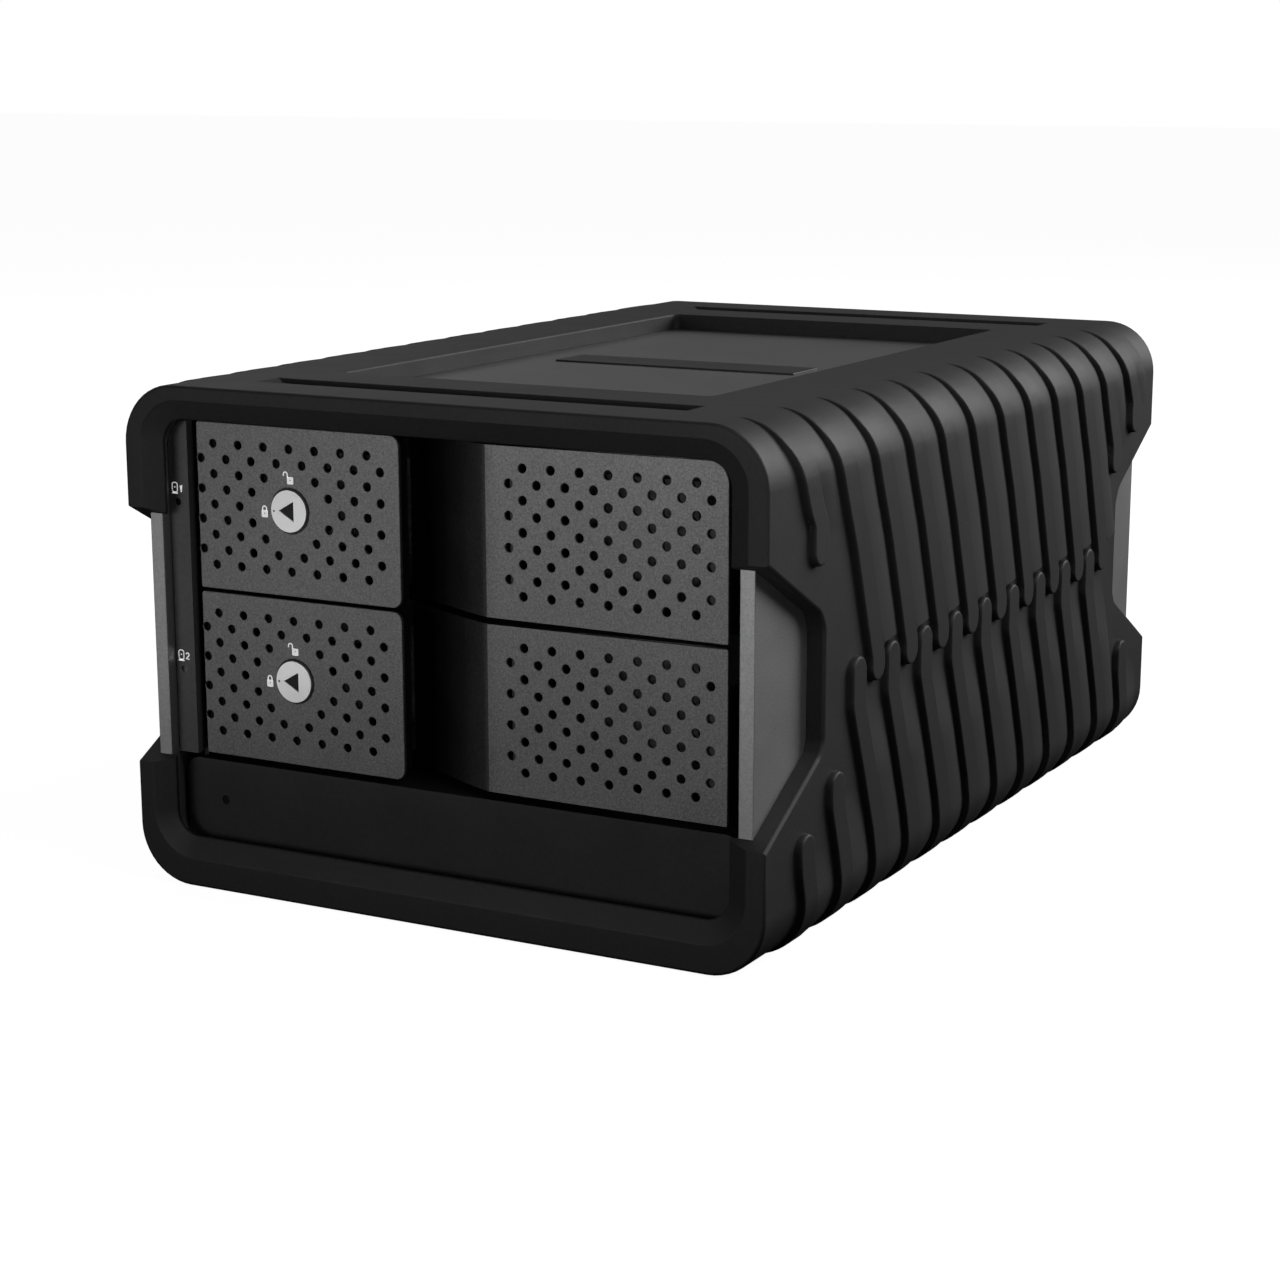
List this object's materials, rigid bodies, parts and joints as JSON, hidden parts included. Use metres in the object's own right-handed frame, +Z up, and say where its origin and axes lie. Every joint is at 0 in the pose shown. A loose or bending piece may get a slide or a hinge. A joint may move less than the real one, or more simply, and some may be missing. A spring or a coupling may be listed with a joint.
{
  "type": "disk storage enclosure",
  "caption": "Desktop box for storage disks: a ribbed rubber sleeve over an aluminium tube, with lockable pull-out trays behind perforated fronts and a rear fan.",
  "frame": {"origin": "centre of the footprint, on the plane the sleeve rests on", "axes": "+X to the right seen from the front, +Y from the front to the back, +Z up"},
  "size_m": [0.1432, 0.2124, 0.101],
  "materials": {
    "rubber": "matt moulded rubber",
    "tube_aluminium": "satin bead-blasted grey",
    "panel_aluminium": "fine textured grey",
    "black_plastic": "satin moulded",
    "strip_plastic": "satin grey",
    "lens": "smoked light lens",
    "badge": "blank dark plate",
    "steel_sheet": "dark coated sheet",
    "fastener": "plain steel",
    "board": "circuit board",
    "chip": "moulded parts",
    "sink": "extruded",
    "fan_plastic": "moulded",
    "port_metal": "plated",
    "lock_metal": "plated",
    "disk_cast": "cast and machined",
    "disk_lid": "stamped",
    "tray_plastic": "moulded"
  },
  "bodies": {
    "chassis": {"bumper": "rubber", "tube": "tube_aluminium", "top_badge": "badge", "front_bezel": "black_plastic", "status_strip": "strip_plastic", "status_leds": "lens", "cage_left": "steel_sheet", "cage_right": "steel_sheet", "cage_floor": "steel_sheet", "cage_screws": "fastener", "backplane": "board", "disk_sockets": "chip", "main_board": "board", "board_parts": "chip", "heat_sink": "sink", "rear_panel": "black_plastic", "rear_screws": "fastener", "fan_frame": "fan_plastic", "fan_screws": "fastener", "rocker_housing": "black_plastic", "data_ports": "port_metal", "power_jack": "chip"},
    "fan": {"fan_rotor": "fan_plastic"},
    "rocker": {"power_rocker": "black_plastic"},
    "dial": {"mode_dial": "black_plastic"},
    "button": {"set_button": "black_plastic"},
    "tray_upper": {"tray_upper": "tray_plastic", "tray_front_upper": "panel_aluminium", "disk_upper": "disk_cast", "disk_lid_upper": "disk_lid", "disk_board_upper": "board", "disk_screws_upper": "fastener", "lever_pin_upper": "fastener"},
    "lever_upper": {"lever_upper": "panel_aluminium", "lever_frame_upper": "black_plastic", "lock_ring_upper": "black_plastic"},
    "lock_upper": {"lock_upper": "lock_metal", "lock_cam_upper": "fastener"},
    "tray_lower": {"tray_lower": "tray_plastic", "tray_front_lower": "panel_aluminium", "disk_lower": "disk_cast", "disk_lid_lower": "disk_lid", "disk_board_lower": "board", "disk_screws_lower": "fastener", "lever_pin_lower": "fastener"},
    "lever_lower": {"lever_lower": "panel_aluminium", "lever_frame_lower": "black_plastic", "lock_ring_lower": "black_plastic"},
    "lock_lower": {"lock_lower": "lock_metal", "lock_cam_lower": "fastener"}
  },
  "joints": [
    {"name": "fan_spin", "type": "hinge", "parent": "chassis", "child": "fan", "pos_m": [-0.024, 0.0903, 0.057], "axis": [0, 1, 0], "continuous": true},
    {"name": "rocker_tip", "type": "hinge", "parent": "chassis", "child": "rocker", "pos_m": [0.038, 0.0983, 0.074], "axis": [1, 0, 0], "range_deg": [0, 18]},
    {"name": "dial_turn", "type": "hinge", "parent": "chassis", "child": "dial", "pos_m": [0.038, 0.1003, 0.05], "axis": [0, -1, 0], "range_deg": [0, 135]},
    {"name": "button_press", "type": "slide", "parent": "chassis", "child": "button", "axis": [0, -1, 0], "range_m": [0, 0.0008], "stiffness_N_per_m": 250},
    {"name": "tray_upper_slide", "type": "slide", "parent": "chassis", "child": "tray_upper", "axis": [0, -1, 0], "range_m": [0, 0.13]},
    {"name": "lever_upper_swing", "type": "hinge", "parent": "tray_upper", "child": "lever_upper", "pos_m": [-0.0542, -0.0959, 0.0769], "axis": [0, 0, -1], "range_deg": [0, 80]},
    {"name": "lock_upper_turn", "type": "hinge", "parent": "lever_upper", "child": "lock_upper", "pos_m": [-0.03517, -0.1003, 0.0773], "axis": [0, 1, 0], "range_deg": [0, 90]},
    {"name": "tray_lower_slide", "type": "slide", "parent": "chassis", "child": "tray_lower", "axis": [0, -1, 0], "range_m": [0, 0.13]},
    {"name": "lever_lower_swing", "type": "hinge", "parent": "tray_lower", "child": "lever_lower", "pos_m": [-0.0542, -0.0959, 0.0431], "axis": [0, 0, -1], "range_deg": [0, 80]},
    {"name": "lock_lower_turn", "type": "hinge", "parent": "lever_lower", "child": "lock_lower", "pos_m": [-0.03517, -0.1003, 0.0435], "axis": [0, 1, 0], "range_deg": [0, 90]}
  ]
}
